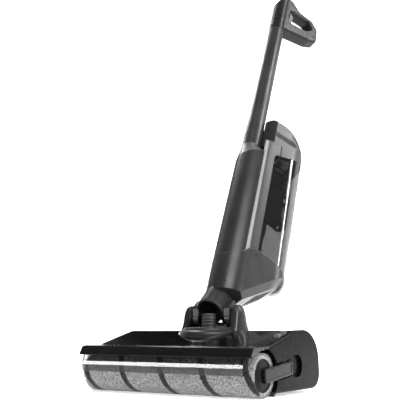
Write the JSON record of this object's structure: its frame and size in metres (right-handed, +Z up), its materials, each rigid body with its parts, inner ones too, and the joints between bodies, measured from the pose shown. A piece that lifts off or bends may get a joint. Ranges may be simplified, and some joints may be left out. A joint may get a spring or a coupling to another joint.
{
  "type": "wet dry floor scrubber",
  "caption": "Cordless upright wet dry floor scrubber: fleece roller head with clear window, reclining and swivelling neck, lift-out dirty water tank, slim pole and loop handle",
  "frame": {"origin": "middle of the bottom of the whole object's box, on the floor", "axes": "+X along the roller to the object's right as its front is seen, +Y from the roller to the rear, +Z up"},
  "size_m": [0.3, 0.7098, 0.8623],
  "materials": {
    "chassis": "black moulded plastic",
    "deck": "high gloss black",
    "side_panel_right": "satin black",
    "side_panel_left": "satin black",
    "front_cover": "high gloss black",
    "cover_window": "smoked clear",
    "cover_lip": "soft black edge",
    "latch_base": "black",
    "latch_tabs": "dark grey",
    "turret": "satin graphite",
    "hinge_pins": "plain steel",
    "neck_hose": "ribbed black rubber",
    "head_duct": "black",
    "outlet_seal": "black rubber",
    "scraper": "black rubber",
    "spray_bar": "grey",
    "squeegee": "black rubber",
    "wheel_left": "black hub",
    "wheel_right": "black hub",
    "tyre_left": "soft rubber tread",
    "tyre_right": "soft rubber tread",
    "wheel_axles": "plain steel",
    "base_screws": "plain steel",
    "brush_motor": "grey painted can",
    "brush_gearbox": "grey painted case",
    "drive_coupling": "natural plastic",
    "roller_core": "grey tube",
    "roller_fleece": "grey fleece with dark stripes",
    "roller_bearing": "steel bearing",
    "roller_arm": "satin black",
    "roller_end_disc": "satin black",
    "neck_sleeve": "satin graphite",
    "swivel_ring": "spring steel ring",
    "lower_body": "satin graphite",
    "exhaust_grille": "black louvres",
    "front_shell": "satin graphite",
    "rear_frame": "satin grey",
    "pole": "satin graphite coat",
    "pole_button": "satin graphite",
    "battery_case": "black",
    "battery_cells": "wrapped cells",
    "circuit_board": "green board",
    "clean_water_tank": "clear",
    "inlet_duct": "black",
    "water_pump": "black",
    "suction_motor": "motor casing",
    "motor_mount": "black rubber",
    "dirty_tank": "smoked clear",
    "tank_cap": "satin grey",
    "tank_latch": "satin grey",
    "tank_seal": "black rubber",
    "tank_riser": "dark clear",
    "filter_cage": "black",
    "tank_filter": "pleated filter cloth",
    "tank_float": "light foam plastic",
    "float_guide": "black",
    "handle": "satin graphite",
    "power_button": "grey",
    "mode_button": "grey",
    "trigger": "dark grey"
  },
  "bodies": {
    "head": {"chassis": "chassis", "deck": "deck", "side_panel_right": "side_panel_right", "side_panel_left": "side_panel_left", "latch_base": "latch_base", "turret": "turret", "hinge_pins": "hinge_pins", "neck_hose": "neck_hose", "head_duct": "head_duct", "outlet_seal": "outlet_seal", "scraper": "scraper", "spray_bar": "spray_bar", "squeegee": "squeegee", "wheel_axles": "wheel_axles", "base_screws": "base_screws", "brush_motor": "brush_motor", "brush_gearbox": "brush_gearbox"},
    "cover": {"front_cover": "front_cover", "cover_window": "cover_window", "cover_lip": "cover_lip"},
    "cover_latch": {"latch_tabs": "latch_tabs"},
    "left_wheel": {"wheel_left": "wheel_left", "tyre_left": "tyre_left"},
    "right_wheel": {"wheel_right": "wheel_right", "tyre_right": "tyre_right"},
    "arm": {"roller_arm": "roller_arm", "roller_end_disc": "roller_end_disc"},
    "roller": {"roller_core": "roller_core", "roller_fleece": "roller_fleece", "roller_bearing": "roller_bearing"},
    "drive": {"drive_coupling": "drive_coupling"},
    "neck": {"neck_sleeve": "neck_sleeve"},
    "upright": {"swivel_ring": "swivel_ring", "lower_body": "lower_body", "exhaust_grille": "exhaust_grille", "front_shell": "front_shell", "rear_frame": "rear_frame", "pole": "pole", "battery_case": "battery_case", "battery_cells": "battery_cells", "circuit_board": "circuit_board", "clean_water_tank": "clean_water_tank", "inlet_duct": "inlet_duct", "water_pump": "water_pump", "suction_motor": "suction_motor", "motor_mount": "motor_mount", "handle": "handle"},
    "tank": {"dirty_tank": "dirty_tank", "tank_cap": "tank_cap", "tank_seal": "tank_seal", "tank_riser": "tank_riser", "filter_cage": "filter_cage", "tank_filter": "tank_filter", "float_guide": "float_guide"},
    "float": {"tank_float": "tank_float"},
    "tank_catch": {"tank_latch": "tank_latch"},
    "pole_catch": {"pole_button": "pole_button"},
    "power_key": {"power_button": "power_button"},
    "mode_key": {"mode_button": "mode_button"},
    "water_trigger": {"trigger": "trigger"}
  },
  "joints": [
    {"name": "cover_lift", "type": "slide", "parent": "head", "child": "cover", "axis": [0, 0, 1], "range_m": [0, 0.07]},
    {"name": "cover_latch_push", "type": "slide", "parent": "head", "child": "cover_latch", "axis": [0, 0.9671, 0.2543], "range_m": [0, 0.004], "stiffness_N_per_m": 400},
    {"name": "left_wheel_spin", "type": "hinge", "parent": "head", "child": "left_wheel", "pos_m": [-0.07704, -0.14138, 0.02], "axis": [1, 0, 0], "continuous": true},
    {"name": "right_wheel_spin", "type": "hinge", "parent": "head", "child": "right_wheel", "pos_m": [0.07696, -0.14138, 0.02], "axis": [1, 0, 0], "continuous": true},
    {"name": "roller_pull", "type": "slide", "parent": "head", "child": "arm", "axis": [1, 0, 0], "range_m": [0, 0.3]},
    {"name": "roller_spin", "type": "hinge", "parent": "arm", "child": "roller", "pos_m": [-0.00004, -0.31738, 0.0295], "axis": [1, 0, 0], "continuous": true},
    {"name": "drive_spin", "type": "hinge", "parent": "head", "child": "drive", "pos_m": [-0.00004, -0.31738, 0.0295], "axis": [1, 0, 0], "continuous": true},
    {"name": "neck_recline", "type": "hinge", "parent": "head", "child": "neck", "pos_m": [-0.00004, -0.21038, 0.106], "axis": [-1, 0, 0], "range_deg": [-32.5, 25]},
    {"name": "body_swivel", "type": "hinge", "parent": "neck", "child": "upright", "pos_m": [-0.00004, -0.22098, 0.11864], "axis": [0, 0.766, 0.6428], "range_deg": [-14.6, 75.4]},
    {"name": "tank_pull", "type": "slide", "parent": "upright", "child": "tank", "axis": [0.4826, 0.7591, -0.4369], "range_m": [0, 0.12]},
    {"name": "float_rise", "type": "slide", "parent": "tank", "child": "float", "axis": [-0.1522, 0.5639, 0.8117], "range_m": [0, 0.008]},
    {"name": "tank_latch_push", "type": "slide", "parent": "tank", "child": "tank_catch", "axis": [0.4826, 0.7591, -0.4369], "range_m": [0, 0.0025], "stiffness_N_per_m": 600},
    {"name": "pole_button_push", "type": "slide", "parent": "upright", "child": "pole_catch", "axis": [0.4826, 0.7591, -0.4369], "range_m": [0, 0.003], "stiffness_N_per_m": 500},
    {"name": "power_button_push", "type": "slide", "parent": "upright", "child": "power_key", "axis": [0.1522, -0.5639, -0.8117], "range_m": [0, 0.001], "stiffness_N_per_m": 800},
    {"name": "mode_button_push", "type": "slide", "parent": "upright", "child": "mode_key", "axis": [0.1522, -0.5639, -0.8117], "range_m": [0, 0.001], "stiffness_N_per_m": 800},
    {"name": "trigger_pull", "type": "slide", "parent": "upright", "child": "water_trigger", "axis": [-0.4826, -0.7591, 0.4369], "range_m": [0, 0.0025], "stiffness_N_per_m": 600}
  ],
  "couplings": [
    {"joint": "drive_spin", "follows": "roller_spin", "ratio": 1}
  ]
}
